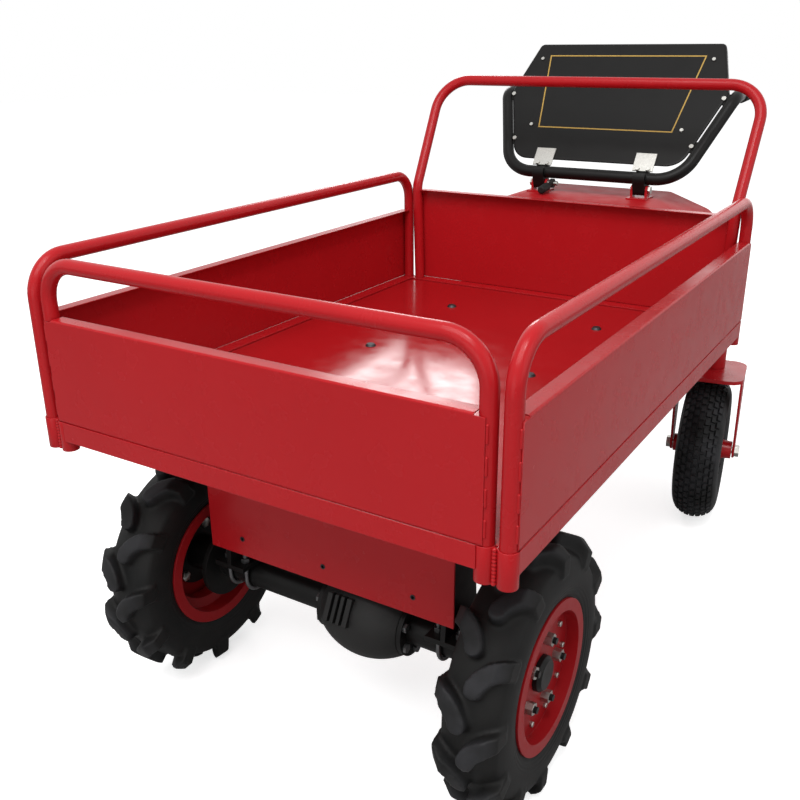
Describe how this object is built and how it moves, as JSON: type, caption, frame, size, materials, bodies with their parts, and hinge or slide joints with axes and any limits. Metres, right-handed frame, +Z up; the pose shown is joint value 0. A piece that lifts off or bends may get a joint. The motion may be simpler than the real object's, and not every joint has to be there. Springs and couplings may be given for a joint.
{
  "type": "electric mini dumper",
  "caption": "Pedestrian-controlled electric load cart with lugged drive wheels, swivel casters, a tipping bed with lift-out tube-framed gates, and a leaning handlebar with a console.",
  "frame": {"origin": "on the floor, midway along and across the whole object", "axes": "+Z up, -Y towards the front (drive wheel end), +X to the vehicle's left"},
  "size_m": [0.78, 1.493, 1.0353],
  "materials": {
    "red_paint": "gloss",
    "black_paint": "satin",
    "zinc": "bright plated",
    "tyre_rubber": "matte",
    "rubber": "matte",
    "black_plastic": "matte",
    "cast": "painted dark",
    "alloy": "cast",
    "dial": "gloss",
    "stop_red": "gloss",
    "bronze": "plain",
    "battery_case": "matte"
  },
  "bodies": {
    "chassis": {"chassis_frame": "red_paint", "front_apron": "red_paint", "hinge_pins": "zinc", "bed_pads": "rubber", "axle_hangers": "black_paint", "axle_bolts": "zinc", "axle_tubes": "black_paint", "gear_case": "cast", "drive_motor": "alloy", "axle_bearings": "zinc", "king_pin_bushes": "bronze", "battery_tray": "black_paint", "batteries": "battery_case", "motor_controller": "alloy", "rear_cover": "red_paint", "handle_brackets": "red_paint", "fold_pins": "zinc"},
    "bed": {"bed_frame": "red_paint", "bed_floor": "red_paint", "floor_bolts": "zinc"},
    "front_gate": {"front_gate_hoop": "red_paint", "front_gate_sheet": "red_paint"},
    "rear_gate": {"rear_gate_hoop": "red_paint", "rear_gate_sheet": "red_paint"},
    "left_gate": {"left_gate_hoop": "red_paint", "left_gate_sheet": "red_paint"},
    "right_gate": {"right_gate_hoop": "red_paint", "right_gate_sheet": "red_paint"},
    "left_wheel": {"left_tyre": "tyre_rubber", "left_rim": "red_paint", "left_hub": "zinc", "left_wheel_nuts": "zinc"},
    "right_wheel": {"right_tyre": "tyre_rubber", "right_rim": "red_paint", "right_hub": "zinc", "right_wheel_nuts": "zinc"},
    "left_fork": {"left_caster_fork": "red_paint", "left_caster_axle": "zinc"},
    "left_caster_wheel": {"left_caster_tyre": "tyre_rubber", "left_caster_rim": "red_paint"},
    "right_fork": {"right_caster_fork": "red_paint", "right_caster_axle": "zinc"},
    "right_caster_wheel": {"right_caster_tyre": "tyre_rubber", "right_caster_rim": "red_paint"},
    "handle": {"handle_saddles": "red_paint", "saddle_caps": "black_paint", "handlebar": "black_paint", "console_panel": "black_paint", "clamp_straps": "zinc", "panel_screws": "zinc", "console_box": "black_plastic", "battery_gauge": "dial", "plain_grip": "rubber", "throttle_housing": "black_plastic"},
    "lock_lever": {"fold_lock_lever": "rubber"},
    "throttle": {"throttle_grip": "rubber"},
    "brake": {"brake_lever": "black_paint"},
    "ignition_key": {"key": "zinc"},
    "rocker": {"direction_rocker": "black_plastic"},
    "stop": {"stop_button": "stop_red"}
  },
  "joints": [
    {"name": "bed_tip", "type": "hinge", "parent": "chassis", "child": "bed", "pos_m": [0, -0.56203, 0.4645], "axis": [1, 0, 0], "range_deg": [0, 40]},
    {"name": "front_gate_lift", "type": "slide", "parent": "bed", "child": "front_gate", "axis": [0, 0, 1], "range_m": [0, 0.08]},
    {"name": "rear_gate_lift", "type": "slide", "parent": "bed", "child": "rear_gate", "axis": [0, 0, 1], "range_m": [0, 0.08]},
    {"name": "left_gate_lift", "type": "slide", "parent": "bed", "child": "left_gate", "axis": [0, 0, 1], "range_m": [0, 0.08]},
    {"name": "right_gate_lift", "type": "slide", "parent": "bed", "child": "right_gate", "axis": [0, 0, 1], "range_m": [0, 0.08]},
    {"name": "left_wheel_spin", "type": "hinge", "parent": "chassis", "child": "left_wheel", "pos_m": [0.312, -0.52003, 0.2025], "axis": [1, 0, 0], "continuous": true},
    {"name": "right_wheel_spin", "type": "hinge", "parent": "chassis", "child": "right_wheel", "pos_m": [-0.312, -0.52003, 0.2025], "axis": [1, 0, 0], "continuous": true},
    {"name": "left_caster_swivel", "type": "hinge", "parent": "chassis", "child": "left_fork", "pos_m": [0.298, 0.52497, 0.4], "axis": [0, 0, 1], "continuous": true},
    {"name": "left_caster_spin", "type": "hinge", "parent": "left_fork", "child": "left_caster_wheel", "pos_m": [0.30465, 0.48047, 0.165], "axis": [0.989, 0.1478, 0], "continuous": true},
    {"name": "right_caster_swivel", "type": "hinge", "parent": "chassis", "child": "right_fork", "pos_m": [-0.298, 0.52497, 0.4], "axis": [0, 0, 1], "continuous": true},
    {"name": "right_caster_spin", "type": "hinge", "parent": "right_fork", "child": "right_caster_wheel", "pos_m": [-0.298, 0.47997, 0.165], "axis": [1, 0, 0], "continuous": true},
    {"name": "handle_fold", "type": "hinge", "parent": "chassis", "child": "handle", "pos_m": [0, 0.44597, 0.742], "axis": [1, 0, 0], "range_deg": [0, 30]},
    {"name": "lock_swing", "type": "hinge", "parent": "chassis", "child": "lock_lever", "pos_m": [-0.09, 0.44597, 0.742], "axis": [-1, 0, 0], "range_deg": [0, 16]},
    {"name": "throttle_twist", "type": "hinge", "parent": "handle", "child": "throttle", "pos_m": [-0.25, 0.74497, 0.92987], "axis": [0.0943, 0.9955, 0], "range_deg": [0, 60], "stiffness_Nm_per_rad": 0.05},
    {"name": "brake_pull", "type": "hinge", "parent": "handle", "child": "brake", "pos_m": [-0.26155, 0.62302, 0.89987], "axis": [0.9955, -0.0943, 0], "range_deg": [0, 8], "stiffness_Nm_per_rad": 2},
    {"name": "key_turn", "type": "hinge", "parent": "handle", "child": "ignition_key", "pos_m": [-0.095, 0.65273, 0.97305], "axis": [0, 0.606, 0.7955], "range_deg": [0, 60]},
    {"name": "rocker_tilt", "type": "hinge", "parent": "handle", "child": "rocker", "pos_m": [0.062, 0.65455, 0.97544], "axis": [1, 0, 0], "range_deg": [-8, 8]},
    {"name": "stop_press", "type": "slide", "parent": "handle", "child": "stop", "axis": [0, -0.606, -0.7955], "range_m": [0, 0.005], "stiffness_N_per_m": 800}
  ]
}
